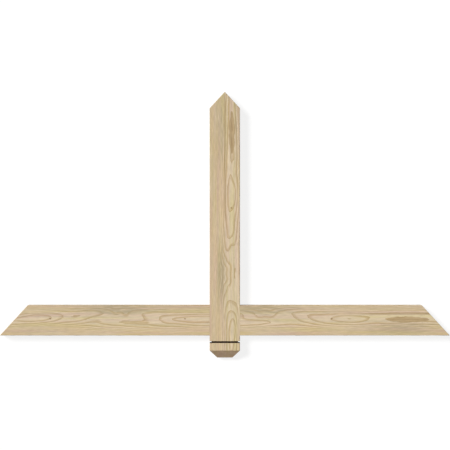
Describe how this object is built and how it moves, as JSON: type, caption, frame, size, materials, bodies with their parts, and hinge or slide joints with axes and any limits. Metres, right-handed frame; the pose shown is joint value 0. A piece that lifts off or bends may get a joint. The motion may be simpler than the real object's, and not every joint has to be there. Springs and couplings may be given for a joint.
{
  "type": "timber gable bracket",
  "caption": "Open gable bracket of square-edged timber: a pointed king post crosses a level bottom chord with mitred ends; the post's foot is grooved and chamfered.",
  "frame": {"origin": "centre of the crossing, on the flat back that goes against the wall", "axes": "+X along the chord, +Y up the post when mounted, +Z from the wall to the front; lies on its back"},
  "size_m": [1.524, 0.9017, 0.0508],
  "materials": {
    "timber": "matte"
  },
  "bodies": {
    "root": {"king_post": "timber", "bottom_chord": "timber"}
  },
  "joints": []
}
